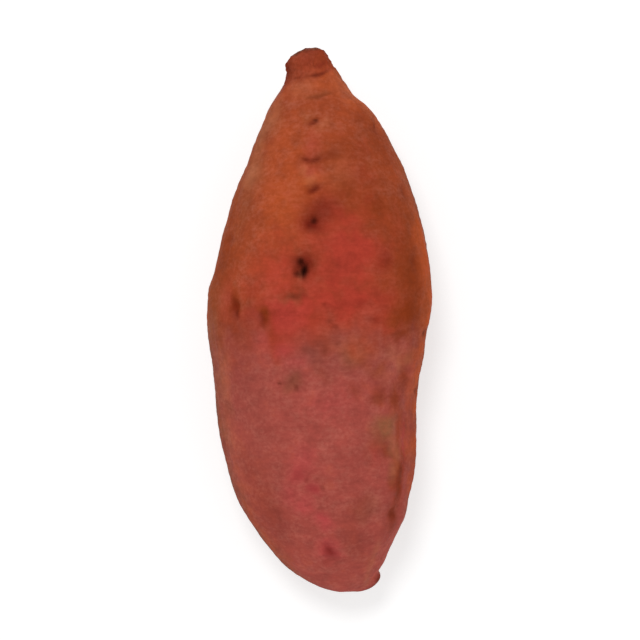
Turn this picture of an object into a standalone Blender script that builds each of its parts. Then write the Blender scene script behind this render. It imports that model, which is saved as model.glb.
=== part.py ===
"""A sweet potato: one whole storage root, as dug and trimmed, lying on its side.

The root lies along Y. The neck, with its dried stub of stem, points to +Y and the root tip to -Y.
+Z is up, and a small flat on the belly rests on the plane Z = 0. The root grew as one piece, so it
is one solid: a sphere whose rings are carried along a bent spine and swollen to the profile of the
root, with its ridge, furrows, creases and eyes raised or sunk by formula.

Places on the skin are given by the distance along the spine from the neck, in millimetres, and by
the turn round the section from the top, in degrees, with + towards +X.
"""

import math
import random

import bpy
import numpy as np

MM = 0.001
NAME = "sweet_potato"

# The spine, from the neck to the root tip: X to the right, Y along the root, Z above the surface.
SPINE = np.array([
    (-4.75, 94.7, 29.4),
    (-2.4, 80.5, 30.2),
    (0.1, 62.0, 31.7),
    (1.4, 27.0, 33.6),
    (-0.7, -24.0, 30.5),
    (2.4, -50.0, 29.5),
    (6.5, -66.0, 27.8),
    (12.1, -79.6, 25.1),
    (18.3, -88.8, 23.0),
])

# The profile: share of the way from the neck to the tip, and the half width there.
PROFILE = np.array([
    (0.0000, 0.0),
    (0.0045, 3.3),
    (0.0110, 5.9),
    (0.0230, 7.6),
    (0.0380, 8.2),
    (0.0590, 9.3),
    (0.0820, 11.8),
    (0.1250, 18.0),
    (0.1700, 22.5),
    (0.2500, 28.9),
    (0.3400, 34.0),
    (0.4500, 37.8),
    (0.5600, 35.9),
    (0.6500, 34.0),
    (0.7350, 32.9),
    (0.8000, 30.3),
    (0.8550, 26.2),
    (0.9000, 21.8),
    (0.9400, 15.6),
    (0.9700, 10.4),
    (0.9840, 6.8),
    (0.9930, 4.7),
    (0.9985, 2.4),
    (1.0000, 0.0),
])
DEPTH_SHARE = 0.90          # the body is this much as deep as it is wide
SQUARENESS = 2.15           # power of the section's outline: 2 is an ellipse

STUB_LENGTH = 12.0          # of the dried stem left on the neck
STUB_END = 9.0              # how much of it leans and is sunk with its broken end
STUB_LEAN = 0.11            # how far its broken end leans to one side, for each mm across
STUB_FLUTES = 7
STUB_FLUTE_TURN = 30
STUB_FLUTE_DEPTH = 0.35
STUB_HOLLOW = 0.4           # how far the broken end is sunk at its middle

TIP_NOTCH_BACK = 3.4        # from the root tip to the notch beside its nub
TIP_NOTCH_TURN = 75
TIP_NOTCH_WIDTH = 1.0
TIP_NOTCH_DEPTH = 1.5
BARE_RADIUS = 3.0           # where the root is thinner than this, its relief fades out

BODY_FROM = (8, 40)         # the body's own relief fades in over these distances from the neck
BODY_TO = (3, 30)           # and out over these distances from the tip

# Broad swellings: (lobes round the section, height, turn of the first, its drift over the length).
LOBES = ((2, 0.35, 35, 40), (3, 0.45, -20, 65), (5, 0.25, 50, -90))

# Single swellings and dips: (distance, turn, half length, half width round it, height).
SWELLINGS = (
    (1.5, 90, 2.0, 5.0, -0.4),
    (1.9, -90, 1.1, 5.0, -0.35),
    (4.0, -90, 1.2, 5.0, 0.45),
    (6.7, 90, 2.2, 5.0, -0.4),
    (10.4, 90, 3.2, 6.0, 1.0),
    (9.5, -90, 3.0, 5.0, -0.5),
    (17.6, -90, 4.0, 8.0, 0.85),
    (14.5, 90, 2.0, 6.0, 0.35),
    (19.6, 90, 2.4, 8.0, -1.15),
    (25.0, 90, 4.0, 9.0, 0.2),
    (24.0, -90, 3.0, 9.0, -0.3),
    (52.0, -90, 8.0, 12.0, 0.4),
    (76.5, -90, 5.5, 12.0, -1.15),
    (93.0, -90, 7.0, 12.0, 0.8),
    (104.0, -90, 8.0, 12.0, 0.15),
    (81.0, 90, 6.0, 12.0, 0.25),
    (160.5, 80, 3.2, 7.0, -0.6),
    (168.0, 80, 3.4, 6.0, -0.2),
    (177.0, -75, 5.0, 8.0, 0.6),
    (180.6, 80, 2.2, 5.0, -0.5),
    (183.0, 66, 2.4, 4.5, -0.7),
    (187.5, 75, 1.4, 4.0, 0.4),
)

# The ridge on the right flank: (distance, turn, height), with a furrow outside it.
FLANK_RIDGE = np.array([
    (96.0, 32.0, 0.0),
    (120.0, 40.5, 0.6),
    (132.0, 43.0, 1.0),
    (144.0, 45.0, 1.5),
    (152.0, 41.0, 1.3),
    (165.5, 30.5, 0.9),
    (178.0, 15.5, 0.6),
    (186.0, -10.0, 0.0),
])
RIDGE_WIDTH = 2.4
FURROW_OFFSET = 9.0         # from the ridge to the furrow outside it, round the skin
FURROW_WIDTH = 4.5
FURROW_SHARE = 0.9          # of the ridge's height that the furrow is deep

EYE_ROW_TURN = -9.0         # the shallow valley that the top row of eyes lies in
EYE_ROW_WIDTH = 5.5
EYE_ROW_DEPTH = 0.5

# Eyes, the scars that side roots left: (distance, turn, radius, depth).
EYES = (
    # Along the top.
    (27.5, -0.5, 1.2, 0.7),
    (40.7, -11, 1.2, 0.7),
    (41.4, -2.5, 1.2, 0.8),
    (51, -6, 1.2, 0.8),
    (61, -6, 1.5, 1.3),
    (74.6, -10.5, 1.8, 2.0),
    (83, -13.5, 1.5, 0.7),
    (100.5, -2, 2.4, 0.6),
    (113, -12, 1.9, 0.6),
    (142.5, -12.5, 1.4, 0.6),
    (145.5, -4, 1.3, 0.6),
    (165, -17.5, 1.6, 0.9),
    # Down the left flank.
    (47, -58, 1.2, 0.7),
    (67, -66, 1.3, 0.8),
    (89, -48, 1.5, 0.9),
    (92.5, -30, 1.4, 0.5),
    (122, -62, 1.5, 0.8),
    (152, -40, 1.3, 0.6),
    # Down the right flank.
    (32, 59, 1.2, 0.7),
    (52, 63, 1.4, 0.9),
    (72, 58, 1.3, 0.8),
    (95, 73, 1.5, 0.9),
    (118, 76, 1.4, 0.7),
    (155, 14, 1.2, 0.5),
    (162, 40, 1.4, 0.7),
)
HIDDEN_ROWS = (118, 178, -114)      # turns of the rows underneath, whose eyes are drawn by lot
HIDDEN_FROM, HIDDEN_TO = 30, 168
HIDDEN_SPACING = (15, 27)           # between neighbours in a row
HIDDEN_STRAY = 7                    # how far an eye lies off its row, in degrees
HIDDEN_RADIUS = (1.2, 1.7)
HIDDEN_DEPTH = (0.6, 1.1)
HIDDEN_SEED = 7

# Each eye is a pit with a brow towards the neck and a crease across it. Widths and the brow's place
# are in radii of the eye, and heights are shares of its depth.
PIT_WIDTH, PIT_DEPTH = 1.25, 0.75
BROW_BACK, BROW_WIDTH, BROW_HEIGHT = 2.1, 2.2, 0.4
LID_LENGTH, LID_WIDTH, LID_DEPTH = 0.6, 3.2, 0.25

# Creases that run across the root: (distance, turn of the middle, half length, width, depth).
CREASES = (
    (10.9, 18, 4.5, 0.7, 0.5),
    (10.7, -27, 3.5, 0.7, 0.3),
    (18.8, 11, 4.0, 0.8, 0.4),
    (23.0, -120, 8.0, 0.9, 0.5),
    (21.0, 130, 7.0, 0.9, 0.5),
    (41.0, 0, 6.5, 0.9, 0.35),
    (83.0, -13.5, 3.6, 0.8, 0.4),
    (169.0, -23, 5.0, 0.9, 0.5),
    (172.0, 120, 6.0, 1.0, 0.5),
    (58.0, 160, 8.0, 1.0, 0.4),
    (128.0, -150, 9.0, 1.0, 0.4),
)

FLAT_MARGIN = 20.0          # how far the cutter of the belly's flat reaches past the root

SECTORS, RINGS = 224, 264   # the fine mesh that the relief is raised on
KEPT_SHARE = 0.085          # of its triangles, which thinning leaves

SKIN_COLOUR = (0.36, 0.075, 0.040, 1.0)
SKIN_ROUGHNESS = 0.62


def spline(knots, values, at):
    """Natural cubic spline through values at the knots, read at the places in at."""
    step = np.diff(knots)[:, None]
    slope = np.diff(values, axis=0) / step
    inner = len(knots) - 2
    system = np.diag(2 * (step[:-1, 0] + step[1:, 0]))
    system += np.diag(step[1:-1, 0], 1) + np.diag(step[1:-1, 0], -1)
    bend = np.zeros_like(values, dtype=float)
    bend[1:-1] = np.linalg.solve(system, 6 * np.diff(slope, axis=0))
    i = np.clip(np.searchsorted(knots, at) - 1, 0, inner)
    h = step[i]
    a = (knots[i + 1] - at)[:, None]
    b = (at - knots[i])[:, None]
    return (
        (bend[i] * a**3 + bend[i + 1] * b**3) / (6 * h)
        + (values[i] / h - bend[i] * h / 6) * a
        + (values[i + 1] / h - bend[i + 1] * h / 6) * b
    )


def chords(points):
    """Distance along the straight chords from the first point to each point."""
    return np.concatenate([[0.0], np.cumsum(np.linalg.norm(np.diff(points, axis=0), axis=1))])


SPINE_AT = chords(SPINE)
LENGTH = SPINE_AT[-1]


def outline(share):
    """(distance along the spine, half width) at a share of the way round the profile."""
    points = PROFILE * (LENGTH, 1)
    along = chords(points)
    found = spline(along / along[-1], points, share)
    return found[:, 0], np.maximum(found[:, 1], 0.0)


def spine_frame(distance):
    """(centre, side, up, ahead) of the section at each distance along the spine."""
    reach = 0.5
    centre = spline(SPINE_AT, SPINE, distance)
    ahead = spline(SPINE_AT, SPINE, distance + reach) - spline(SPINE_AT, SPINE, distance - reach)
    ahead /= np.linalg.norm(ahead, axis=1, keepdims=True)
    side = np.cross(ahead, (0.0, 0.0, -1.0))
    side /= np.linalg.norm(side, axis=1, keepdims=True)
    return centre, side, np.cross(ahead, side), ahead


def hump(offset, width):
    """A smooth hump of height 1 and the given half width, at an offset from its middle."""
    return np.exp(-0.5 * (offset / width) ** 2)


def ease(value, start, end):
    """0 before the start, 1 past the end, and a smooth rise between them."""
    t = np.clip((value - start) / (end - start), 0.0, 1.0)
    return t * t * (3 - 2 * t)


def turn_apart(turn, other):
    """The shortest way round from one turn to another, in degrees."""
    return (turn - other + 180) % 360 - 180


def hidden_eyes():
    """Eyes in the rows underneath, spaced unevenly and a little off their row."""
    lot = random.Random(HIDDEN_SEED)
    for row in HIDDEN_ROWS:
        distance = HIDDEN_FROM + lot.uniform(0, 10)
        while distance < HIDDEN_TO:
            turned = row + lot.uniform(-HIDDEN_STRAY, HIDDEN_STRAY)
            yield distance, turned, lot.uniform(*HIDDEN_RADIUS), lot.uniform(*HIDDEN_DEPTH)
            distance += lot.uniform(*HIDDEN_SPACING)


def eye_relief(distance, arc, radius, depth):
    """A pit with a brow towards the neck and a short crease across it."""
    pit = hump(distance, radius) * hump(arc, PIT_WIDTH * radius)
    brow = hump(distance + BROW_BACK * radius, radius) * hump(arc, BROW_WIDTH * radius)
    crease = hump(distance, LID_LENGTH * radius) * hump(arc, LID_WIDTH * radius)
    return depth * (BROW_HEIGHT * brow - PIT_DEPTH * pit - LID_DEPTH * crease)


def relief(distance, turn, half_width):
    """How far the skin stands out of, or is sunk below, the plain swollen shape."""
    mm_per_degree = np.radians(1) * half_width
    body = ease(distance, *BODY_FROM) * ease(LENGTH - distance, *BODY_TO)
    height = np.zeros_like(distance)
    for lobes, tall, first, drift in LOBES:
        height += tall * body * np.cos(np.radians(lobes * turn - first - drift * distance / LENGTH))

    for at, turned, half_length, wide, tall in SWELLINGS:
        arc = turn_apart(turn, turned) * mm_per_degree
        height += tall * hump(distance - at, half_length) * hump(arc, wide)

    row = hump(turn_apart(turn, EYE_ROW_TURN) * mm_per_degree, EYE_ROW_WIDTH)
    height -= EYE_ROW_DEPTH * row * body

    crest = spline(FLANK_RIDGE[:, 0], FLANK_RIDGE[:, 1:], distance)
    inside = (distance > FLANK_RIDGE[0, 0]) & (distance < FLANK_RIDGE[-1, 0])
    tall = np.where(inside, np.maximum(crest[:, 1], 0.0), 0.0)
    arc = turn_apart(turn, crest[:, 0]) * mm_per_degree
    height += tall * hump(arc, RIDGE_WIDTH)
    height -= FURROW_SHARE * tall * hump(arc - FURROW_OFFSET, FURROW_WIDTH)

    for at, turned, radius, depth in (*EYES, *hidden_eyes()):
        arc = turn_apart(turn, turned) * mm_per_degree
        height += eye_relief(distance - at, arc, radius, depth)
    for at, turned, half_length, width, depth in CREASES:
        arc = turn_apart(turn, turned) * mm_per_degree
        height -= depth * hump(distance - at, width) * hump(arc, 0.6 * half_length)

    stub = ease(distance, 1.5, 4) * (1 - ease(distance, STUB_LENGTH - 4, STUB_LENGTH + 3))
    height += STUB_FLUTE_DEPTH * stub * np.cos(np.radians(STUB_FLUTES * turn + STUB_FLUTE_TURN))
    notch = ease(np.cos(np.radians(turn - TIP_NOTCH_TURN)), -0.1, 0.7)
    notch *= hump(LENGTH - distance - TIP_NOTCH_BACK, TIP_NOTCH_WIDTH)
    return height - TIP_NOTCH_DEPTH * notch


def root_surface(share, turn):
    """The points of the skin at shares of the profile and turns round the section, in mm."""
    distance, half_width = outline(share)
    centre, side, up, ahead = spine_frame(distance)
    c, s = np.sin(np.radians(turn)), np.cos(np.radians(turn))
    swell = (np.abs(c) ** SQUARENESS + np.abs(s) ** SQUARENESS) ** (-1 / SQUARENESS)
    depth_share = 1 - (1 - DEPTH_SHARE) * np.sin(math.pi * np.clip(distance / LENGTH, 0, 1))
    reach = half_width * swell + relief(distance, turn, half_width) * ease(half_width, 0, BARE_RADIUS)
    across, above = reach * c, reach * s * depth_share
    # The stub's broken end leans to one side and is sunk at its middle.
    end = 1 - ease(distance, 0, STUB_END)
    along = -STUB_LEAN * across * end + STUB_HOLLOW * hump(np.hypot(across, above), 2.2) * end
    return centre + side * across[:, None] + up * above[:, None] + ahead * along[:, None]


def make_root():
    bpy.ops.mesh.primitive_uv_sphere_add(
        segments=SECTORS, ring_count=RINGS, radius=1, rotation=(-math.pi / 2, 0, 0))
    root = bpy.context.object
    root.name = NAME
    bpy.ops.object.transform_apply(rotation=True)
    co = np.empty(len(root.data.vertices) * 3, np.float32)
    root.data.vertices.foreach_get("co", co)
    unit = co.reshape(-1, 3).astype(float)
    share = np.arccos(np.clip(unit[:, 1], -1, 1)) / math.pi
    turn = np.degrees(np.arctan2(unit[:, 0], unit[:, 2]))
    placed = root_surface(share, turn)
    # The origin is under the middle of the root.
    middle = (placed.min(axis=0) + placed.max(axis=0)) / 2
    placed[:, :2] -= middle[:2]
    root.data.vertices.foreach_set("co", (placed * MM).astype(np.float32).ravel())
    root.data.update()
    root.data.shade_smooth()
    thin = root.modifiers.new("thin", "DECIMATE")
    thin.ratio = KEPT_SHARE
    return root


def cut_belly_flat(root, cutters):
    """Cut the belly level with the surface that the root rests on."""
    size = [side * MM for side in (120.0, 240.0, 2 * FLAT_MARGIN)]
    bpy.ops.mesh.primitive_cube_add(size=1, location=(0, 0, -FLAT_MARGIN * MM), scale=size)
    cutter = bpy.context.object
    cutter.name = "belly_cutter"
    cutter.hide_render = True
    cutter.display_type = "WIRE"
    move_to(cutter, cutters)
    cut = root.modifiers.new("belly flat", "BOOLEAN")
    cut.operation = "DIFFERENCE"
    cut.object = cutter


def skin_material():
    skin = bpy.data.materials.new("sweet potato skin")
    skin.use_nodes = True
    shader = skin.node_tree.nodes["Principled BSDF"]
    shader.inputs["Base Color"].default_value = SKIN_COLOUR
    shader.inputs["Roughness"].default_value = SKIN_ROUGHNESS
    shader.inputs["Metallic"].default_value = 0.0
    return skin


def new_collection(name):
    collection = bpy.data.collections.new(name)
    bpy.context.scene.collection.children.link(collection)
    return collection


def move_to(thing, collection):
    for old in list(thing.users_collection):
        old.objects.unlink(thing)
    collection.objects.link(thing)


for old in list(bpy.data.objects):
    bpy.data.objects.remove(old)
potato = make_root()
potato.data.materials.append(skin_material())
move_to(potato, new_collection("sweet potato"))
cut_belly_flat(potato, new_collection("cutters"))
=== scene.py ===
"""The looks of a whole sweet potato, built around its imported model.

The sections follow each other from the root, with its skin and its marks, to the floor, the light and
the camera. Places on the skin are given by the distance along the spine from the neck, in
millimetres, and by the turn round the section from the top, in degrees, with + towards +X.
"""

import math
import random

import bpy
import numpy as np
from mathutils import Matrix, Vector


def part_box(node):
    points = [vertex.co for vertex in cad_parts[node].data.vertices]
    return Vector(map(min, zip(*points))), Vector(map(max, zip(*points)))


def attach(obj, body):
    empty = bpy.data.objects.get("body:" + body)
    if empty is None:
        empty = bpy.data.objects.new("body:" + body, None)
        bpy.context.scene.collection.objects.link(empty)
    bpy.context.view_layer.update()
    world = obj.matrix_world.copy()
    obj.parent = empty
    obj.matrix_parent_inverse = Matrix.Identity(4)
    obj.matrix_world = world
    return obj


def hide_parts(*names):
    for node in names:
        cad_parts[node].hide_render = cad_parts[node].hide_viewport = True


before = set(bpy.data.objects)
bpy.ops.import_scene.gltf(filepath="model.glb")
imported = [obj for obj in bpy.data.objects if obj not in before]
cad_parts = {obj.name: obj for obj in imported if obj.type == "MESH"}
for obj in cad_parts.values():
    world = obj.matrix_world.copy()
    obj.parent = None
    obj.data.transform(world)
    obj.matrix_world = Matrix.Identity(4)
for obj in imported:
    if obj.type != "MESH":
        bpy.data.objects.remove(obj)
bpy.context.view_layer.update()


# --- The storage root ---------------------------------------------------------------------------
# One swollen root, grown in one piece, with a thin, dry, matte skin. It narrows to a neck with a
# dried stub of stem and to a root tip, and rows of sunken eyes show where its side roots stood.

MM = 0.001

# The spine, from the neck to the root tip: X to the right, Y along the root, Z above the surface.
SPINE = np.array([
    (-4.75, 94.7, 29.4),
    (-2.4, 80.5, 30.2),
    (0.1, 62.0, 31.7),
    (1.4, 27.0, 33.6),
    (-0.7, -24.0, 30.5),
    (2.4, -50.0, 29.5),
    (6.5, -66.0, 27.8),
    (12.1, -79.6, 25.1),
    (18.3, -88.8, 23.0),
])

# The profile: share of the way from the neck to the tip, and the half width there.
PROFILE = np.array([
    (0.0000, 0.0),
    (0.0045, 3.3),
    (0.0110, 5.9),
    (0.0230, 7.6),
    (0.0380, 8.2),
    (0.0590, 9.3),
    (0.0820, 11.8),
    (0.1250, 18.0),
    (0.1700, 22.5),
    (0.2500, 28.9),
    (0.3400, 34.0),
    (0.4500, 37.8),
    (0.5600, 35.9),
    (0.6500, 34.0),
    (0.7350, 32.9),
    (0.8000, 30.3),
    (0.8550, 26.2),
    (0.9000, 21.8),
    (0.9400, 15.6),
    (0.9700, 10.4),
    (0.9840, 6.8),
    (0.9930, 4.7),
    (0.9985, 2.4),
    (1.0000, 0.0),
])
DEPTH_SHARE = 0.90          # the body is this much as deep as it is wide
SQUARENESS = 2.15           # power of the section's outline: 2 is an ellipse

STUB_LENGTH = 12.0          # of the dried stem left on the neck
STUB_END = 9.0              # how much of it leans and is sunk with its broken end
STUB_LEAN = 0.11            # how far its broken end leans to one side, for each mm across
STUB_FLUTES = 7
STUB_FLUTE_TURN = 30
STUB_FLUTE_DEPTH = 0.35
STUB_FLUTES_FROM = (1.5, 4)     # distances over which the flutes fade in
STUB_FLUTES_TO = (STUB_LENGTH - 4, STUB_LENGTH + 3)     # and out again
STUB_HOLLOW = 0.4           # how far the broken end is sunk at its middle
STUB_HOLLOW_WIDTH = 2.2

STUB_BARK_HEIGHT = 0.16     # of the dried, shrunken bark on it
STUB_BARK = ((1.0, 2.4, 6, 15), (0.7, 1.3, 1.5, 16))    # (share of that, grain across, along, seed)
STUB_BARK_TO = (STUB_LENGTH - 3, STUB_LENGTH + 2)       # distances over which it fades out

TIP_NOTCH_BACK = 3.4        # from the root tip to the notch beside its nub
TIP_NOTCH_TURN = 75
TIP_NOTCH_WIDTH = 1.0
TIP_NOTCH_DEPTH = 1.5
TIP_NOTCH_ROUND = (-0.1, 0.7)   # cosine of the turn from its middle, where it starts and is full
BARE_RADIUS = 3.0           # where the root is thinner than this, its relief fades out

BODY_FROM = (8, 40)         # the body's own relief fades in over these distances from the neck
BODY_TO = (3, 30)           # and out over these distances from the tip

# Broad swellings: (lobes round the section, height, turn of the first, its drift over the length).
LOBES = ((2, 0.35, 35, 40), (3, 0.45, -20, 65), (5, 0.25, 50, -90))

# Single swellings and dips: (distance, turn, half length, half width round it, height).
SWELLINGS = (
    (1.5, 90, 2.0, 5.0, -0.4),
    (1.9, -90, 1.1, 5.0, -0.35),
    (4.0, -90, 1.2, 5.0, 0.45),
    (6.7, 90, 2.2, 5.0, -0.4),
    (10.4, 90, 3.2, 6.0, 1.0),
    (9.5, -90, 3.0, 5.0, -0.5),
    (17.6, -90, 4.0, 8.0, 0.85),
    (14.5, 90, 2.0, 6.0, 0.35),
    (19.6, 90, 2.4, 8.0, -1.15),
    (25.0, 90, 4.0, 9.0, 0.2),
    (24.0, -90, 3.0, 9.0, -0.3),
    (52.0, -90, 8.0, 12.0, 0.4),
    (76.5, -90, 5.5, 12.0, -1.15),
    (93.0, -90, 7.0, 12.0, 0.8),
    (104.0, -90, 8.0, 12.0, 0.15),
    (81.0, 90, 6.0, 12.0, 0.25),
    (160.5, 80, 3.2, 7.0, -0.6),
    (168.0, 80, 3.4, 6.0, -0.2),
    (177.0, -75, 5.0, 8.0, 0.6),
    (180.6, 80, 2.2, 5.0, -0.5),
    (183.0, 66, 2.4, 4.5, -0.7),
    (187.5, 75, 1.4, 4.0, 0.4),
)

# The ridge on the right flank: (distance, turn, height), with a furrow outside it.
FLANK_RIDGE = np.array([
    (96.0, 32.0, 0.0),
    (120.0, 40.5, 0.6),
    (132.0, 43.0, 1.0),
    (144.0, 45.0, 1.5),
    (152.0, 41.0, 1.3),
    (165.5, 30.5, 0.9),
    (178.0, 15.5, 0.6),
    (186.0, -10.0, 0.0),
])
RIDGE_WIDTH = 2.4
FURROW_OFFSET = 9.0         # from the ridge to the furrow outside it, round the skin
FURROW_WIDTH = 4.5
FURROW_SHARE = 0.9          # of the ridge's height that the furrow is deep

EYE_ROW_TURN = -9.0         # the shallow valley that the top row of eyes lies in
EYE_ROW_WIDTH = 5.5
EYE_ROW_DEPTH = 0.5

# Eyes: (distance, turn, radius, depth, how black the pit is, how brown the scab round it).
# The black of a pit is partly the eye's own dark scar and partly painted shade in its hollow.
EYES = (
    # Along the top.
    (27.5, -0.5, 1.2, 0.7, 0.0, 0.0),
    (40.7, -11, 1.2, 0.7, 0.0, 0.0),
    (41.4, -2.5, 1.2, 0.8, 0.0, 0.0),
    (51, -6, 1.2, 0.8, 0.0, 0.0),
    (61, -6, 1.5, 1.3, 0.0, 0.0),
    (74.6, -10.5, 1.8, 2.0, 0.0, 0.0),
    (83, -13.5, 1.5, 0.7, 0.0, 0.0),
    (100.5, -2, 2.4, 0.6, 0.0, 0.1),
    (113, -12, 1.9, 0.6, 0.0, 0.2),
    (142.5, -12.5, 1.4, 0.6, 0.0, 0.2),
    (145.5, -4, 1.3, 0.6, 0.0, 0.2),
    (165, -17.5, 1.6, 0.9, 0.0, 0.0),
    # Down the left flank.
    (47, -58, 1.2, 0.7, 0.0, 0.2),
    (67, -66, 1.3, 0.8, 0.05, 0.3),
    (89, -48, 1.5, 0.9, 0.0, 0.0),
    (92.5, -30, 1.4, 0.5, 0.0, 0.0),
    (122, -62, 1.5, 0.8, 0.0, 0.2),
    (152, -40, 1.3, 0.6, 0.05, 0.2),
    # Down the right flank.
    (32, 59, 1.2, 0.7, 0.05, 0.3),
    (52, 63, 1.4, 0.9, 0.1, 0.3),
    (72, 58, 1.3, 0.8, 0.05, 0.3),
    (95, 73, 1.5, 0.9, 0.35, 0.5),
    (118, 76, 1.4, 0.7, 0.1, 0.3),
    (155, 14, 1.2, 0.5, 0.0, 0.1),
    (162, 40, 1.4, 0.7, 0.0, 0.1),
)
HIDDEN_ROWS = (118, 178, -114)      # turns of the rows underneath, whose eyes are drawn by lot
HIDDEN_FROM, HIDDEN_TO = 30, 168
HIDDEN_START = (0, 10)              # how much later than that a row begins
HIDDEN_SPACING = (15, 27)           # between neighbours in a row
HIDDEN_STRAY = 7                    # how far an eye lies off its row, in degrees
HIDDEN_RADIUS = (1.2, 1.7)
HIDDEN_DEPTH = (0.6, 1.1)
HIDDEN_BLACK_AND_SHADE = 0.3                  # how black the pit is, for each mm of its depth: painted shade that deepens with the pit
HIDDEN_SCAB = 0.4                   # how brown the scab round it is
HIDDEN_SEED = 7

# Each eye is a pit with a brow towards the neck and a crease across it. Widths and the brow's place
# are in radii of the eye, and heights are shares of its depth.
PIT_WIDTH, PIT_DEPTH = 1.25, 0.75
BROW_BACK, BROW_WIDTH, BROW_HEIGHT = 2.1, 2.2, 0.4
LID_LENGTH, LID_WIDTH, LID_DEPTH = 0.6, 3.2, 0.25

# Creases that run across the root: (distance, turn of the middle, half length, width, depth).
CREASES = (
    (10.9, 18, 4.5, 0.7, 0.5),
    (10.7, -27, 3.5, 0.7, 0.3),
    (18.8, 11, 4.0, 0.8, 0.4),
    (23.0, -120, 8.0, 0.9, 0.5),
    (21.0, 130, 7.0, 0.9, 0.5),
    (41.0, 0, 6.5, 0.9, 0.35),
    (83.0, -13.5, 3.6, 0.8, 0.4),
    (169.0, -23, 5.0, 0.9, 0.5),
    (172.0, 120, 6.0, 1.0, 0.5),
    (58.0, 160, 8.0, 1.0, 0.4),
    (128.0, -150, 9.0, 1.0, 0.4),
)

CREASE_SPAN = 0.6           # half width of the hump along a crease, for each mm of its half length

# The fine unevenness of the skin: (height, grain across, grain along, seed), all but the seed in mm.
UNEVEN = ((0.22, 24, 30, 11), (0.10, 9, 13, 12), (0.05, 14, 2.6, 13), (0.05, 3.2, 24, 14))

RINGS, SECTORS = 330, 300
# The rings stand closer at the ends: (how much closer, share of the profile over which they do).
STUB_CROWD, STUB_CROWD_REACH = 1.2, 0.05
TIP_CROWD, TIP_CROWD_REACH = 1.0, 0.03
CROWD_STEPS = 2001          # at which that is added up


def spline(knots, values, at):
    """Natural cubic spline through values at the knots, read at the places in at."""
    step = np.diff(knots)[:, None]
    slope = np.diff(values, axis=0) / step
    inner = len(knots) - 2
    system = np.diag(2 * (step[:-1, 0] + step[1:, 0]))
    system += np.diag(step[1:-1, 0], 1) + np.diag(step[1:-1, 0], -1)
    bend = np.zeros_like(values, dtype=float)
    bend[1:-1] = np.linalg.solve(system, 6 * np.diff(slope, axis=0))
    i = np.clip(np.searchsorted(knots, at) - 1, 0, inner)
    h = step[i]
    a = (knots[i + 1] - at)[:, None]
    b = (at - knots[i])[:, None]
    return (
        (bend[i] * a**3 + bend[i + 1] * b**3) / (6 * h)
        + (values[i] / h - bend[i] * h / 6) * a
        + (values[i + 1] / h - bend[i + 1] * h / 6) * b
    )


def chords(points):
    """Distance along the straight chords from the first point to each point."""
    return np.concatenate([[0.0], np.cumsum(np.linalg.norm(np.diff(points, axis=0), axis=1))])


SPINE_AT = chords(SPINE)
LENGTH = SPINE_AT[-1]


def outline(share):
    """(distance along the spine, half width) at a share of the way round the profile."""
    points = PROFILE * (LENGTH, 1)
    along = chords(points)
    found = spline(along / along[-1], points, share)
    return found[:, 0], np.maximum(found[:, 1], 0.0)


def spine_frame(distance):
    """(centre, side, up, ahead) of the section at each distance along the spine."""
    reach = 0.5
    centre = spline(SPINE_AT, SPINE, distance)
    ahead = spline(SPINE_AT, SPINE, distance + reach) - spline(SPINE_AT, SPINE, distance - reach)
    ahead /= np.linalg.norm(ahead, axis=1, keepdims=True)
    side = np.cross(ahead, (0.0, 0.0, -1.0))
    side /= np.linalg.norm(side, axis=1, keepdims=True)
    return centre, side, np.cross(ahead, side), ahead


def hump(offset, width):
    """A smooth hump of height 1 and the given half width, at an offset from its middle."""
    return np.exp(-0.5 * (offset / width) ** 2)


def ease(value, start, end):
    """0 before the start, 1 past the end, and a smooth rise between them."""
    t = np.clip((value - start) / (end - start), 0.0, 1.0)
    return t * t * (3 - 2 * t)


def turn_apart(turn, other):
    """The shortest way round from one turn to another, in degrees."""
    return (turn - other + 180) % 360 - 180


def ripple(points, across, along, seed, waves=40):
    """An uneven pattern about 1 high each way: many plane waves in directions drawn by lot, added up,
    each about one grain long, with the grain's size given across the root and along it."""
    lot = np.random.default_rng(seed)
    heading = lot.normal(size=(waves, 3))
    heading /= np.linalg.norm(heading, axis=1, keepdims=True)
    heading *= 2 * math.pi * lot.uniform(0.6, 1.4, (waves, 1)) / (across, along, across)
    start = lot.uniform(0, 2 * math.pi, waves)
    return np.cos(points @ heading.T + start).sum(axis=1) * math.sqrt(2 / waves)


def hidden_eyes():
    """Eyes in the rows underneath, spaced unevenly and a little off their row."""
    lot = random.Random(HIDDEN_SEED)
    for row in HIDDEN_ROWS:
        distance = HIDDEN_FROM + lot.uniform(*HIDDEN_START)
        while distance < HIDDEN_TO:
            turned = row + lot.uniform(-HIDDEN_STRAY, HIDDEN_STRAY)
            radius, depth = lot.uniform(*HIDDEN_RADIUS), lot.uniform(*HIDDEN_DEPTH)
            yield distance, turned, radius, depth, HIDDEN_BLACK_AND_SHADE * depth, HIDDEN_SCAB
            distance += lot.uniform(*HIDDEN_SPACING)


ALL_EYES = (*EYES, *hidden_eyes())


def eye_relief(distance, arc, radius, depth):
    """A pit with a brow towards the neck and a short crease across it."""
    pit = hump(distance, radius) * hump(arc, PIT_WIDTH * radius)
    brow = hump(distance + BROW_BACK * radius, radius) * hump(arc, BROW_WIDTH * radius)
    crease = hump(distance, LID_LENGTH * radius) * hump(arc, LID_WIDTH * radius)
    return depth * (BROW_HEIGHT * brow - PIT_DEPTH * pit - LID_DEPTH * crease)


def ridge_crest(distance):
    """(turn, height) of the flank's ridge at each distance."""
    crest = spline(FLANK_RIDGE[:, 0], FLANK_RIDGE[:, 1:], distance)
    inside = (distance > FLANK_RIDGE[0, 0]) & (distance < FLANK_RIDGE[-1, 0])
    return crest[:, 0], np.where(inside, np.maximum(crest[:, 1], 0.0), 0.0)


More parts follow.
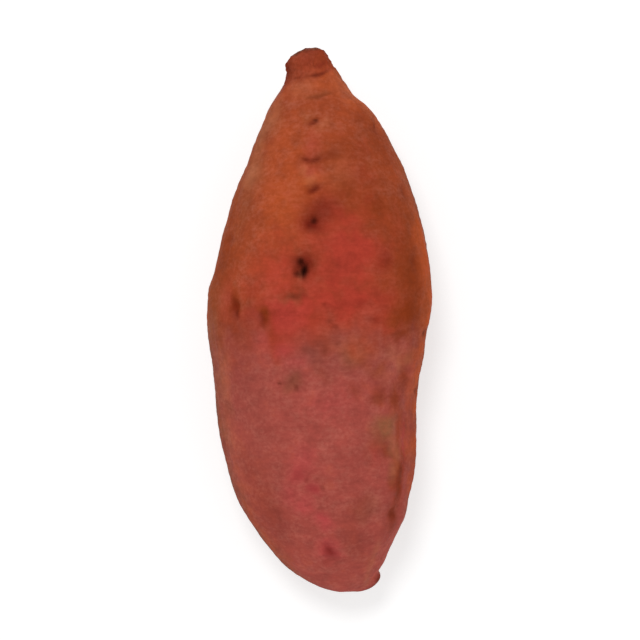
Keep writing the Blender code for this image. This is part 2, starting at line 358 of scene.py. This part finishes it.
def relief(distance, turn, half_width):
    """How far the skin stands out of, or is sunk below, the plain swollen shape."""
    mm_per_degree = np.radians(1) * half_width
    body = ease(distance, *BODY_FROM) * ease(LENGTH - distance, *BODY_TO)
    height = np.zeros_like(distance)
    for lobes, tall, first, drift in LOBES:
        height += tall * body * np.cos(np.radians(lobes * turn - first - drift * distance / LENGTH))

    for at, turned, half_length, wide, tall in SWELLINGS:
        arc = turn_apart(turn, turned) * mm_per_degree
        height += tall * hump(distance - at, half_length) * hump(arc, wide)

    row = hump(turn_apart(turn, EYE_ROW_TURN) * mm_per_degree, EYE_ROW_WIDTH)
    height -= EYE_ROW_DEPTH * row * body

    crest, tall = ridge_crest(distance)
    arc = turn_apart(turn, crest) * mm_per_degree
    height += tall * hump(arc, RIDGE_WIDTH)
    height -= FURROW_SHARE * tall * hump(arc - FURROW_OFFSET, FURROW_WIDTH)

    for at, turned, radius, depth, *_ in ALL_EYES:
        arc = turn_apart(turn, turned) * mm_per_degree
        height += eye_relief(distance - at, arc, radius, depth)
    for at, turned, half_length, width, depth in CREASES:
        arc = turn_apart(turn, turned) * mm_per_degree
        height -= depth * hump(distance - at, width) * hump(arc, CREASE_SPAN * half_length)

    stub = ease(distance, *STUB_FLUTES_FROM) * (1 - ease(distance, *STUB_FLUTES_TO))
    height += STUB_FLUTE_DEPTH * stub * np.cos(np.radians(STUB_FLUTES * turn + STUB_FLUTE_TURN))
    notch = ease(np.cos(np.radians(turn - TIP_NOTCH_TURN)), *TIP_NOTCH_ROUND)
    notch *= hump(LENGTH - distance - TIP_NOTCH_BACK, TIP_NOTCH_WIDTH)
    return height - TIP_NOTCH_DEPTH * notch


def root_surface(share, turn, extra=0.0):
    """The points of the skin at shares of the profile and turns round the section, in mm."""
    distance, half_width = outline(share)
    centre, side, up, ahead = spine_frame(distance)
    c, s = np.sin(np.radians(turn)), np.cos(np.radians(turn))
    swell = (np.abs(c) ** SQUARENESS + np.abs(s) ** SQUARENESS) ** (-1 / SQUARENESS)
    depth_share = 1 - (1 - DEPTH_SHARE) * np.sin(math.pi * np.clip(distance / LENGTH, 0, 1))
    raised = (relief(distance, turn, half_width) + extra) * ease(half_width, 0, BARE_RADIUS)
    reach = half_width * swell + raised
    across, above = reach * c, reach * s * depth_share
    # The stub's broken end leans to one side and is sunk at its middle.
    end = 1 - ease(distance, 0, STUB_END)
    sunk = STUB_HOLLOW * hump(np.hypot(across, above), STUB_HOLLOW_WIDTH)
    along = -STUB_LEAN * across * end + sunk * end
    return centre + side * across[:, None] + up * above[:, None] + ahead * along[:, None]


def ring_shares(rings):
    """Shares of the profile for the rings, about twice as close at the ends as on the body."""
    share = np.linspace(0, 1, CROWD_STEPS)
    density = 1 + STUB_CROWD * hump(share, STUB_CROWD_REACH) + TIP_CROWD * hump(1 - share, TIP_CROWD_REACH)
    count = np.concatenate([[0], np.cumsum((density[1:] + density[:-1]) / 2)])
    return np.interp(np.linspace(0, 1, rings + 2), count / count[-1], share)


def closed_skin(name, points, rings, sectors):
    """A closed mesh from a pole, rings of points and the other pole, with its faces pointing out."""
    ring = np.arange(rings)[:, None] * sectors + 1
    here, there = np.arange(sectors), (np.arange(sectors) + 1) % sectors
    quads = np.stack([ring[:-1] + here, ring[:-1] + there, ring[1:] + there, ring[1:] + here], axis=-1)
    last = ring[-1, 0]
    first_fan = np.stack([np.zeros(sectors, int), 1 + there, 1 + here], axis=-1)
    last_fan = np.stack([np.full(sectors, last + sectors), last + here, last + there], axis=-1)
    mesh = bpy.data.meshes.new(name)
    faces = quads.reshape(-1, 4).tolist() + first_fan.tolist() + last_fan.tolist()
    mesh.from_pydata(points.tolist(), [], faces)
    mesh.shade_smooth()
    piece = bpy.data.objects.new(name, mesh)
    bpy.context.scene.collection.objects.link(piece)
    return piece


shares = ring_shares(RINGS)
turns = -180 + 360 * np.arange(SECTORS) / SECTORS
share, turn = (grid.ravel() for grid in np.meshgrid(shares[1:-1], turns, indexing="ij"))
share = np.concatenate([[0.0], share, [1.0]])
turn = np.concatenate([[0.0], turn, [0.0]])
distance, half_width = outline(share)
plain = root_surface(share, turn)
uneven = sum(tall * ripple(plain, across, along, seed) for tall, across, along, seed in UNEVEN)
bark = sum(part * ripple(plain, across, along, seed) for part, across, along, seed in STUB_BARK)
uneven += STUB_BARK_HEIGHT * (1 - ease(distance, *STUB_BARK_TO)) * bark
points = root_surface(share, turn, uneven)

# The root is fitted to the frame: its box becomes the model's, and what lies below the surface it
# rests on is levelled to it, which makes the flat on its belly.
low, high = (np.array(corner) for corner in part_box("sweet_potato"))
own_low, own_high = points.min(axis=0), points.max(axis=0)
own_low[2] = 0.0
points = low + (points - own_low) * (high - low) / (own_high - own_low)
points[:, 2] = np.maximum(points[:, 2], low[2])
root = closed_skin("skin", points, RINGS, SECTORS)

# Where the skin's own colour changes: (start, end, how much the edge wanders with the drift below).
ROSE_CHANGE = (84, 109, 1.6)        # distances over which the neck's brown turns to rose
TAN_CHANGE = (50, 86, 1.2)          # turns over which the flanks turn tan
UNDER_SHADE_CHANGE = (76, 110, 3.5)       # turns over which the underside turns brown: partly its own colour, partly painted shade on the turning flanks
STUB_CHANGE = (9.5, 13, 0.4)        # distances over which the dried stub's red ends
BROKEN_CHANGE = (0.3, 2.2, 0.3)     # and the torn face of its broken end

# How far the edges of patches drift: (how far, grain across, grain along, seed), all but the seed in mm.
DRIFT = ((2.4, 16, 18, 21), (1.0, 5, 6, 22))
DRIFT_ROUND = 0.6           # how far they drift round the root, for each mm along it

# A pale welt on the crest of the flank's ridge, and a seam that goes on from it towards the tip: partly
# pale skin, partly a painted highlight on the crest.
CREST_INSIDE = 0.2          # their middle lies this much towards the top from the crest
WELT_AT, WELT_LENGTH, WELT_WIDTH, WELT_AND_HIGHLIGHT_STRENGTH = 143, 7, 1.5, 0.45
SEAM_FROM, SEAM_WIDTH, SEAM_AND_HIGHLIGHT_STRENGTH = (164, 174), 1.2, 0.4

SCAR_STRENGTH = 0.7         # of the brown scar on the root tip
SCAR_FROM = (1.8, 0.6)      # distances from the tip over which it fades in

# An eye's black, partly painted shade in its pit, and its scab: (half length, half width), in radii of the
# eye.
PIT_BLACK = (0.9, 1.05)
PIT_SCAB = (1.5, 2.2)

CRISP, SHARP = 3, 4         # edges of marks, where 2 is a soft one

# The skin's colouring: (distance, turn, half length along the root, half width round it, strength).
# Broad, soft patches come first, then small marks.
ORANGE_PATCHES = (
    (52, -24, 20, 10, 0.5),
    (70, -26, 12, 9, 0.3),
    (36, -25, 10, 6, 0.35),
    (11, 40, 7, 5, 0.7),
    (9, 62, 4, 4, 0.6),
    (21, 45, 10, 5, 0.6),
    (46.5, -8, 4, 4, 0.9),
    (19, 74, 8, 12, 0.7),
    (70, 71, 11, 6, 1.0),
    (84, 79, 8, 8, 1.0),
    (99, 74, 9, 6, 0.8),
    (112, 72, 8, 5, 0.9),
    (112, 61, 6, 4, 0.5),
    (126, 78, 9, 7, 1.0),
    (141, 73, 9, 5, 0.9),
    (120, 65, 14, 5, 0.5),
    (139, 65, 9, 5, 0.5),
    (151, 80, 6, 6, 0.6),
    (96, 118, 22, 14, 0.5),
    (60, -112, 20, 12, 0.4),
    (140, 150, 20, 14, 0.4),
    (134, -66, 10, 6, 0.15),
    (158, -74, 12, 6, 0.4),
)
OLIVE_PATCHES = (
    (28, -62, 10, 7, 0.5),
    (43, -60, 12, 8, 0.45),
    (56, -56, 12, 6, 0.35),
    (96, -70, 12, 8, 0.4),
    (17.6, 12, 1.5, 4.5, 0.4),
    (24, -7, 3, 4, 0.25),
    (84.3, -13, 1.5, 4.8, 1.0),
    (113, -14, 3.0, 2.6, 0.45),
    (133, 37.5, 4.8, 5.0, 1.0),
    (140, 42.5, 5, 2.5, 0.7),
    (148, 40.5, 4, 2.0, 0.4),
    (158, 22, 4, 5, 0.3),
)
RED_PATCHES = (
    (61, 12, 6, 10, 0.8),
    (72, 12, 12, 16, 1.0),
    (84, 10, 10, 20, 1.0),
    (78, -22, 12, 13, 0.7),
    (90, -16, 9, 16, 1.0),
    (84, 30, 11, 9, 0.8),
    (93, -34, 6, 9, 0.5),
    (92, 36, 5, 6, 0.6),
    (94, -40, 8, 8, 0.55),
    (90, -55, 10, 6, 0.4),
    (49, 25, 7, 7, 0.35),
    (150, 49, 10, 4.5, 0.8),
)
BROWN_PATCHES = (
    (5, 55, 6, 4, 1.0),
    (3, -80, 5, 2.5, 1.0),
    (17.6, 12, 1.5, 4.5, 0.4),
    (40, 16, 8, 9, 0.5),
    (52, 18, 9, 12, 0.5),
    (58, 33, 5, 7, 0.7),
    (95.5, -22, 3.5, 7, 0.45),
    (38, 52, 14, 10, 0.5),
    (60, 48, 12, 10, 0.6),
    (76, 52, 16, 10, 0.8),
    (88, 50, 8, 9, 0.9),
    (60, -62, 12, 8, 0.35),
    (60, -74, 12, 5, 0.6),
    (98, -50, 8, 12, 0.6),
    (74, -68, 14, 10, 0.7),
    (89, -72, 8, 8, 0.5),
    (92.0, -30, 3.8, 3.6, 1.0),
    (88.5, -47.5, 5.5, 3.0, 1.0),
    (109.5, 32.5, 4, 3, 0.5),
    (118, 37, 4, 4, 0.7),
    (117, 19.5, 4, 3, 0.4),
    # The brown marks at turns of 43 to 56 from 112 to 163 mm lie down the outer slope of the flank's
    # ridge: partly dark skin, partly painted shade.
    (151, 48.5, 11, 4.4, 1.0),
    (140, 37.5, 4, 2.5, 0.6),
    (100, 37, 4, 3, 0.3),
    (163, 43, 5.5, 4, 0.8),
    (142, 56, 7, 3.5, 0.7),
    (151, -49, 12, 9, 0.35),
    (139, -49, 8, 8, 0.3),
    (121, 48, 9, 3.5, 0.8),
    (112, 54, 9, 4, 0.7),
    (98, 60, 6, 5, 0.3),
    (96, 47, 3.5, 7, 0.8),
    (140, 31, 5, 5, 0.45),
    (135, 50, 5, 2.5, 0.6),
    (157, 12, 5, 6, 0.2),
    (166, 6, 8, 5, 0.25),
)
DUSK_PATCHES = (
    (98, 3, 5, 6, 0.6),
    (103, -3, 5, 6, 0.9),
    (104, 16, 6, 9, 0.6),
    (112, -13, 4, 4, 0.5),
    (84, -60, 10, 6, 0.15),
    (118, -40, 20, 12, 0.4),
    (138, -36, 14, 9, 0.3),
    (101, 20, 5, 7, 0.85),
    (99, -10, 5, 7, 0.3),
)
CRIMSON_PATCHES = (
    (36, -5, 5, 3.5, 0.2),
    (44.5, -5, 2.5, 4, 0.25),
    (90, -18, 7, 7, 0.25),
    (101, -16.5, 3.5, 4.0, 0.55),
    (105.5, -11.5, 3, 4, 0.35),
    (100.5, -30, 4, 4, 0.3),
    (121, 8, 6, 8, 0.3),
    (139, -11.5, 4, 4.5, 0.5),
    (142, -16, 3.5, 3.5, 0.7),
    (148, -11, 2.6, 2.6, 1.0),
    (147.5, -24, 4.5, 4, 0.5),
    (152.5, -20, 3.5, 4, 0.6),
    (158, -11.5, 3, 3.5, 0.8),
    (167.5, -16, 3.5, 4, 0.8),
    (138, 58, 7, 1.2, 0.5),
    (141.5, 31.5, 3, 3, 0.3),
)
MAROON_PATCHES = (
    (4, -70, 6, 3.0, 1.0),
    (9, -75, 5, 3, 0.9),
    (5, 0, 4, 4, 0.4),
    (7.6, 30, 1.3, 2.6, 0.7),
    (10.7, 22, 1.0, 4.5, 0.5),
    (1.5, 20, 1.6, 5, 0.5),
    (58.5, -3, 4.2, 6.0, 0.7),
    (61.3, -6.0, 3.6, 4.6, 0.95),
    (56.5, 4, 2.5, 4.0, 0.4),
    (60.5, 3, 2.0, 3.5, 0.4),
    (51.3, -6, 1.8, 2.4, 0.8),
    (41, -7, 1.8, 5.0, 0.6),
    (27.9, -1.5, 1.2, 2.0, 0.6),
    (75.5, -9.5, 3.8, 4.2, 0.75),
    (89.2, -49, 4.0, 2.5, 0.65),
    (91.8, -47.5, 2.2, 1.8, 0.7),
    (93.5, -30.5, 2.4, 2.2, 0.4),
    # Down the outer slope of the flank's ridge, towards its furrow: partly dark skin, partly painted
    # shade.
    (134, 59, 8, 2.5, 0.2),
    (151, 48, 9, 3.8, 0.3),
    (160, 48, 6, 3.5, 0.15),
    (163.5, 44, 3.2, 3.0, 0.4),
    (167.8, -16.5, 2.0, 2.2, 0.75),
    (148, -11, 2.2, 2.4, 0.4),
    (142.5, -17, 2.0, 2.4, 0.25),
    (85.4, 20, 1.5, 2.0, 0.4),
    (90.6, 28, 1.2, 3.0, 0.5),
    (72.5, 34, 2.0, 3.0, 0.5),
)
PEACH_PATCHES = (
    # Over the brow of the eye at 51 mm: partly pale skin, partly a painted highlight on the brow.
    (47.6, -8, 2.2, 2.2, 0.6),
    (47, 11, 8, 7, 0.2),
    (26, -60, 8, 6, 0.4),
    (45, -62, 5, 6, 0.8),
    (14, -15, 5, 6, 0.35),
    (21, 66, 8, 7, 0.4),
    (19, 70, 6, 8, 0.6),
    (34, -66, 12, 7, 0.3),
    (44.5, -12, 1.5, 1.5, 0.5),
    (78.6, -12.5, 1.4, 1.0, 0.7),
    (29, 6, 2.0, 3.0, 0.4),
    (103, 41, 4.0, 5.0, 0.55),
    (105, 48, 4, 3.5, 0.6),
    (110, 38, 4.5, 3.5, 0.3),
    (138, 44, 8, 2.0, 0.15),
    (148, 41, 4, 1.6, 0.6),
    (102.5, 56, 3, 3.5, 0.6),
    (100.5, 19, 4, 6, 0.35),
    (120, -64, 22, 6, 0.3),
)
SCAB_MARKS = (
    (1.8, 5, 0.9, 1.6, 0.4),
    (7.5, -60, 5.5, 2.8, 0.75),
    (3.0, 88, 4.0, 1.5, 0.6),
    (10.8, 20, 0.6, 3.4, 0.8),
    (10.6, -27, 0.5, 2.6, 0.4),
    (18.7, 8, 0.8, 4.2, 0.35),
    (28.4, -4, 0.7, 1.1, 0.6),
    (27.5, -0.8, 0.8, 1.2, 0.9),
    (26.8, 1.6, 0.5, 0.8, 0.5),
    (29.8, 13, 0.8, 1.2, 0.35),
    (31, 60, 0.9, 0.9, 0.7),
    (33, 57, 0.7, 0.7, 0.6),
    (40.6, 8, 1.4, 2.2, 0.4),
    (40.9, -11, 0.8, 1.4, 0.7),
    (41.0, -4, 0.8, 1.6, 0.8),
    (51.3, -5.6, 0.9, 1.3, 0.6),
    (50.0, -10, 0.5, 1.6, 0.35),
    (75.7, -13.6, 3.0, 1.9, 1.0),
    (84.0, -12.5, 0.9, 3.8, 0.7),
    (86, 2, 0.9, 1.1, 0.4),
    (91.2, 5, 0.9, 1.0, 0.4),
    (92.8, 8, 0.9, 1.2, 0.5),
    (98, 10, 1.2, 1.0, 0.4),
    (101, -6, 1.4, 1.8, 0.35),
    (101, 4, 1.6, 1.2, 0.4),
    (91.5, -47, 1.6, 0.8, 0.4),
    (92.2, -31, 1.5, 1.2, 0.35),
    (111.6, -14, 1.0, 1.0, 0.5),
    (114.4, -11.5, 1.4, 0.8, 0.7),
    (112.4, -20.5, 0.8, 0.9, 0.7),
    (143.9, -12.5, 1.2, 1.2, 0.5),
    (147.3, -4, 1.2, 1.0, 0.5),
    (153.8, -40, 1.1, 1.0, 0.4),
    (157.3, 13, 1.0, 1.2, 0.3),
    (158.8, 22, 1.3, 1.3, 0.25),
    (150, 40, 1.8, 1.4, 0.3),
    (163.0, 43, 2.4, 2.2, 0.2),
    (170.2, -23.5, 0.8, 3.6, 0.35),
    (186.6, 52, 1.3, 3.0, 0.8),
    (187.4, 15, 1.0, 3.0, 0.7),
)
# Black in the deeper pits: partly their own dark scars, partly painted shade in them.
BLACK_MARKS = (
    (27.5, -0.6, 0.5, 0.8, 0.4),
    (61.0, -5.4, 1.0, 1.2, 0.7),
    (62.2, -7.8, 0.8, 0.8, 0.3),
    (76.6, -9.9, 2.2, 1.5, 1.0),
    (73.9, -12.0, 1.6, 1.2, 0.75),
    (77.8, -13.2, 0.9, 1.4, 0.6),
)

# The patches, from the lowest to the one on top: (name, places, how much of the drift its edge takes,
# colour, how much of the skin's own colour it hides).
PATCHES = (
    ("orange", ORANGE_PATCHES, 1.0, "#BE5428", 0.85),
    ("olive", OLIVE_PATCHES, 0.5, "#875A3A", 0.75),
    ("red", RED_PATCHES, 1.0, "#B23D2F", 0.9),
    ("brown", BROWN_PATCHES, 0.5, "#883614", 0.88),
    ("dusk", DUSK_PATCHES, 0.7, "#824438", 0.6),
    ("crimson", CRIMSON_PATCHES, 0.3, "#C0484A", 0.8),
    ("maroon", MAROON_PATCHES, 0.3, "#6E1A10", 0.85),
    ("peach", PEACH_PATCHES, 0.3, "#BC7150", 0.6),
)
SCAB_DRIFT, EYE_DRIFT = 0.15, 0.1       # how much of the drift the edges of scabs and eyes take


def marks(spots, wander=0.0, edge=2):
    """The strongest of some round marks at each point; wander frays them, and edge makes them crisper."""
    found = np.zeros_like(distance)
    for at, turned, long, wide, strength in spots:
        arc = turn_apart(turn, turned) * np.radians(1) * half_width
        off = ((distance + wander - at) / long) ** 2 + ((arc - DRIFT_ROUND * wander) / wide) ** 2
        found = np.maximum(found, strength * np.exp(-(off ** (edge / 2))))
    return found


def keep(piece, name, values):
    """Keeps a number from 0 to 1 for each point of a piece, for its material to read."""
    kept = piece.data.attributes.new(name, "FLOAT", "POINT")
    kept.data.foreach_set("value", np.clip(values, 0, 1).astype(np.float32))


crest, tall = ridge_crest(distance)
crest_arc = turn_apart(turn, crest) * np.radians(1) * half_width
drift = sum(far * ripple(plain, across, along, seed) for far, across, along, seed in DRIFT)
black_eyes = [(at, turned, PIT_BLACK[0] * radius, PIT_BLACK[1] * radius, black)
              for at, turned, radius, depth, black, scab in ALL_EYES]
scab_eyes = [(at, turned, PIT_SCAB[0] * radius, PIT_SCAB[1] * radius, scab)
             for at, turned, radius, depth, black, scab in ALL_EYES]
welt_and_highlight = WELT_AND_HIGHLIGHT_STRENGTH * hump(distance - WELT_AT, WELT_LENGTH) * hump(crest_arc + CREST_INSIDE, WELT_WIDTH)
seam_and_highlight = SEAM_AND_HIGHLIGHT_STRENGTH * ease(distance, *SEAM_FROM) * (tall > 0) * hump(crest_arc + CREST_INSIDE, SEAM_WIDTH)
# The crest's pale strip is both pale skin and a painted highlight along the ridge.
on_crest = {"olive": welt_and_highlight, "peach": np.maximum(welt_and_highlight, seam_and_highlight)}
scar = SCAR_STRENGTH * ease(distance, LENGTH - SCAR_FROM[0], LENGTH - SCAR_FROM[1])


def change(value, start, end, wander):
    """0 before a change of the skin's own colour and 1 past it, with an edge that wanders."""
    return ease(value + wander * drift, start, end)


keep(root, "rose", change(distance, *ROSE_CHANGE))
*tan_turns, tan_wander = TAN_CHANGE
keep(root, "tan", ease(np.abs(turn_apart(turn + tan_wander * drift, 0)), *tan_turns))
keep(root, "under", change(np.abs(turn_apart(turn, 0)), *UNDER_SHADE_CHANGE))
for name, places, share_of_drift, *_ in PATCHES:
    patches = marks(places, share_of_drift * drift)
    keep(root, name, np.maximum(patches, on_crest.get(name, 0.0)))
scabs = np.maximum(marks(scab_eyes, EYE_DRIFT * drift), marks(SCAB_MARKS, SCAB_DRIFT * drift, CRISP))
keep(root, "scab", np.maximum(scar, scabs))
pits = marks(black_eyes, EYE_DRIFT * drift, SHARP)
keep(root, "black", np.maximum(pits, marks(BLACK_MARKS, EYE_DRIFT * drift, CRISP)))
keep(root, "stub", 1 - change(distance, *STUB_CHANGE))
keep(root, "broken", 1 - change(distance, *BROKEN_CHANGE))


def linear(colour):
    """An sRGB hex colour as the linear RGBA that a shader takes."""
    channels = [int(colour[i:i + 2], 16) / 255 for i in (1, 3, 5)]
    return (*(c / 12.92 if c <= 0.04045 else ((c + 0.055) / 1.055) ** 2.4 for c in channels), 1.0)


def add(tree, kind, inputs=None, **settings):
    """Adds a node with its settings; inputs maps a socket's name or number to a value or an output."""
    made = tree.nodes.new("ShaderNode" + kind)
    for name, value in settings.items():
        setattr(made, name, value)
    for socket, value in (inputs or {}).items():
        if isinstance(value, bpy.types.NodeSocket):
            tree.links.new(value, made.inputs[socket])
        else:
            made.inputs[socket].default_value = value
    return made


def new_material(name):
    """A node material, its tree and its Principled shader."""
    material = bpy.data.materials.new(name)
    material.use_nodes = True
    return material, material.node_tree, material.node_tree.nodes["Principled BSDF"]


# Raw storage-root skin: thin dry cork over red flesh, grown, not moulded. It gives a matte, slightly
# dusty face with soft blotches, fine pale flecks and shallow wrinkles that run across the root.
NECK_BROWN = "#A64A2B"
LOW_ROSE = "#AC4F45"
FLANK_TAN = "#924A28"
LOW_TAN = "#74442A"
UNDER_BROWN_AND_SHADE = "#7A4228"
STUB_RED = "#9C3F2B"
STUB_DRIED = "#743120"
TORN_DARK = "#5C2A1C"
TORN_PITH = "#93593B"
SCAB_BROWN = "#602012"
EYE_BLACK_AND_SHADE = "#1A0604"
DUST_PINK = "#C07C6A"

# How much of a colour shows: one share, or the shares at the low and at the high end of a noise.
TAN_SHARE = (0.4, 0.9)
UNDER_SHADE_SHARE = (0.35, 0.7)
SCAB_SHARE = (0.5, 0.9)
DUST_SHARE = 0.2
DRIED_SHARE = 0.5           # of the dried streaks on the stub
STUB_SHARE = 0.45
LIGHTNESS = (0.14, 0.12, 0.08, 0.05)    # how much blotch, mottle, fleck and brushed grain change it

# The low and the high end of a noise, past which it changes nothing more.
NOISE_ENDS = (0.3, 0.7)
LIGHTNESS_ENDS = (0.25, 0.75)
DUST_ENDS = (0.2, 0.42)
STREAK_ENDS = (0.42, 0.68)
PITH_ENDS = (0.45, 0.7)
SCAB_ENDS = (0.35, 0.6)
PATCH_ENDS = (0.05, 0.9)                # the same for a patch's strength once it is frayed
FRAY_BLOTCH, FRAY_MOTTLE, FRAY_LEVEL = 0.4, 0.3, -0.35      # these leave it at 0 on average

ROUGHNESS = (0.58, 0.74)
SHINE = 0.02                # dry cork has next to none
SKIN_IOR = 1.45
WRINKLE_HEIGHT, WRINKLE_STRENGTH = 0.35 * MM, 0.45
PORE_DEPTH, PORE_STRENGTH = 0.15 * MM, 0.4

material, tree, shader = new_material("raw sweet potato skin")
where = add(tree, "TexCoord").outputs["Object"]
in_mm = add(tree, "Mapping", {"Vector": where, "Scale": (1 / MM, 1 / MM, 1 / MM)}).outputs["Vector"]


def kept(name):
    """The number kept on the piece's points under a name."""
    return add(tree, "Attribute", attribute_name=name).outputs["Fac"]


def grain(across, along, detail=3.0, rough=0.55):
    """Noise whose grain is the given sizes in mm, across the root and along it."""
    scale = (1 / across, 1 / along, 1 / across)
    at = add(tree, "Mapping", {"Vector": in_mm, "Scale": scale}).outputs["Vector"]
    noise = add(tree, "TexNoise", {"Vector": at, "Scale": 1.0, "Detail": detail, "Roughness": rough})
    return noise.outputs["Fac"]


def spread(value, start, end, low=0.0, high=1.0):
    """A value stretched from start..end to low..high, and held at those ends."""
    made = add(tree, "MapRange", {0: value, 1: start, 2: end, 3: low, 4: high}, clamp=True)
    return made.outputs[0]


def maths(operation, a, b, c=0.0):
    """One sum on two or three numbers."""
    return add(tree, "Math", {0: a, 1: b, 2: c}, operation=operation).outputs[0]


def mixed(base, over, share, blend="MIX"):
    """One colour laid over another by a share."""
    made = add(tree, "Mix", {0: share, 6: base, 7: over}, data_type="RGBA", blend_type=blend)
    return made.outputs[2]


blotch = grain(11, 13, 2.0)
mottle = grain(3.6, 3.2)
fleck = grain(1.5, 1.2, 2.0, 0.6)
brushed = grain(9, 1.7, 2.0, 0.6)
bloom = grain(5.5, 5.0, 2.0, 0.5)
streaky = grain(1.3, 7, 3.0, 0.6)
pithy = grain(0.8, 6, 2.0, 0.6)
fray = maths("MULTIPLY_ADD", mottle, FRAY_MOTTLE, FRAY_LEVEL)
fray = maths("MULTIPLY_ADD", blotch, FRAY_BLOTCH, fray)

colour = mixed(linear(NECK_BROWN), linear(LOW_ROSE), kept("rose"))
flank = mixed(linear(FLANK_TAN), linear(LOW_TAN), kept("rose"))
tanned = maths("MULTIPLY", kept("tan"), spread(blotch, *NOISE_ENDS, *TAN_SHARE))
colour = mixed(colour, flank, tanned)
dusty = spread(maths("MULTIPLY", bloom, fleck), *DUST_ENDS, 0.0, DUST_SHARE)
colour = mixed(colour, linear(DUST_PINK), dusty)
for name, _, _, tint, cover in PATCHES:
    shown = spread(maths("ADD", kept(name), fray), *PATCH_ENDS, 0.0, cover)
    colour = mixed(colour, linear(tint), shown)
# The underside's brown: partly the skin's own colour, partly painted shade that darkens the flanks towards
# their edges.
under = maths("MULTIPLY", kept("under"), spread(blotch, *NOISE_ENDS, *UNDER_SHADE_SHARE))
colour = mixed(colour, linear(UNDER_BROWN_AND_SHADE), under)

# The stub is streaked along its length, and its broken end is dark with streaks of paler pith.
dried = mixed(linear(STUB_RED), linear(STUB_DRIED), spread(streaky, *STREAK_ENDS, 0.0, DRIED_SHARE))
colour = mixed(colour, dried, maths("MULTIPLY", kept("stub"), STUB_SHARE))
torn = mixed(linear(TORN_DARK), linear(TORN_PITH), spread(pithy, *PITH_ENDS))
colour = mixed(colour, torn, kept("broken"))

for patchy, amount in zip((blotch, mottle, fleck, brushed), LIGHTNESS):
    lightness = spread(patchy, *LIGHTNESS_ENDS, 1 - amount, 1 + amount)
    colour = mixed(colour, lightness, 1.0, "MULTIPLY")
scabby = maths("MULTIPLY", kept("scab"), spread(mottle, *SCAB_ENDS, *SCAB_SHARE))
colour = mixed(colour, linear(SCAB_BROWN), scabby)
# The pits' black: partly the eyes' own dark scars, partly painted shade in their hollows.
colour = mixed(colour, linear(EYE_BLACK_AND_SHADE), kept("black"))

wrinkle = grain(7, 1.8, 3.0, 0.55)
pores = grain(1.0, 0.8, 2.0)
bumps = add(tree, "Bump", {"Height": wrinkle, "Strength": WRINKLE_STRENGTH, "Distance": WRINKLE_HEIGHT})
bumps = add(tree, "Bump", {"Height": pores, "Strength": PORE_STRENGTH, "Distance": PORE_DEPTH,
                           "Normal": bumps.outputs[0]})

tree.links.new(colour, shader.inputs["Base Color"])
tree.links.new(spread(mottle, *NOISE_ENDS, *ROUGHNESS), shader.inputs["Roughness"])
tree.links.new(bumps.outputs[0], shader.inputs["Normal"])
shader.inputs["IOR"].default_value = SKIN_IOR
shader.inputs["Specular IOR Level"].default_value = SHINE
root.data.materials.append(material)
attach(root, "root")
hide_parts("sweet_potato")


# --- The floor ----------------------------------------------------------------------------------
# A plain white sheet under the root, wide enough to fill every view.

FLOOR_HALF = 3.0
FLOOR_WHITE = "#C4C4C4"
FLOOR_ROUGHNESS = 0.9
FLOOR_GLOW = 0.60           # keeps the sheet white where the root shades it

floor_mesh = bpy.data.meshes.new("floor")
corners = np.array([(-1, -1, 0), (1, -1, 0), (1, 1, 0), (-1, 1, 0)]) * FLOOR_HALF
floor_mesh.from_pydata(corners.tolist(), [], [(0, 1, 2, 3)])
floor = bpy.data.objects.new("floor", floor_mesh)
bpy.context.scene.collection.objects.link(floor)
floor_material, _, floor_shader = new_material("white sheet")
floor_shader.inputs["Base Color"].default_value = linear(FLOOR_WHITE)
floor_shader.inputs["Roughness"].default_value = FLOOR_ROUGHNESS
floor_shader.inputs["Emission Color"].default_value = (1, 1, 1, 1)
floor_shader.inputs["Emission Strength"].default_value = FLOOR_GLOW
floor_mesh.materials.append(floor_material)


# --- Light and camera ---------------------------------------------------------------------------
# Soft white light all round and a broad lamp high up, past the neck and a little to the left. The
# camera looks straight down.

SKY_STRENGTH = 0.56
LAMP_SIZE = 0.5
LAMP_PLACE = (-0.23, 0.55, 1.85)
LAMP_WATTS = 12.2
LENS = 250.0                # in millimetres, with the sensor's width below
SENSOR = 36.0
VIEW_WIDTH = 0.2169         # of what the camera takes in, level with the root's middle
VIEW_RIGHT = 0.0002         # how far to the right of the root's middle it looks
VIEW_REACH = 10.0

world = bpy.data.worlds.new("studio")
world.use_nodes = True
world.node_tree.nodes["Background"].inputs["Color"].default_value = (1, 1, 1, 1)
world.node_tree.nodes["Background"].inputs["Strength"].default_value = SKY_STRENGTH
bpy.context.scene.world = world

lamp_data = bpy.data.lights.new("lamp", "AREA")
lamp_data.shape = "DISK"
lamp_data.size = LAMP_SIZE
lamp_data.energy = LAMP_WATTS
lamp = bpy.data.objects.new("lamp", lamp_data)
bpy.context.scene.collection.objects.link(lamp)
lamp.location = LAMP_PLACE
aim = np.array(LAMP_PLACE)
lamp.rotation_euler = (math.acos(aim[2] / np.linalg.norm(aim)), 0, math.atan2(aim[0], -aim[1]))

camera_data = bpy.data.cameras.new("camera")
camera_data.lens = LENS
camera_data.sensor_width = SENSOR
camera_data.clip_end = VIEW_REACH
camera = bpy.data.objects.new("camera", camera_data)
bpy.context.scene.collection.objects.link(camera)
middle = (low + high) / 2
camera.location = (middle[0] + VIEW_RIGHT, middle[1], middle[2] + VIEW_WIDTH * LENS / SENSOR)
bpy.context.scene.camera = camera
bpy.context.scene.view_settings.view_transform = "Standard"
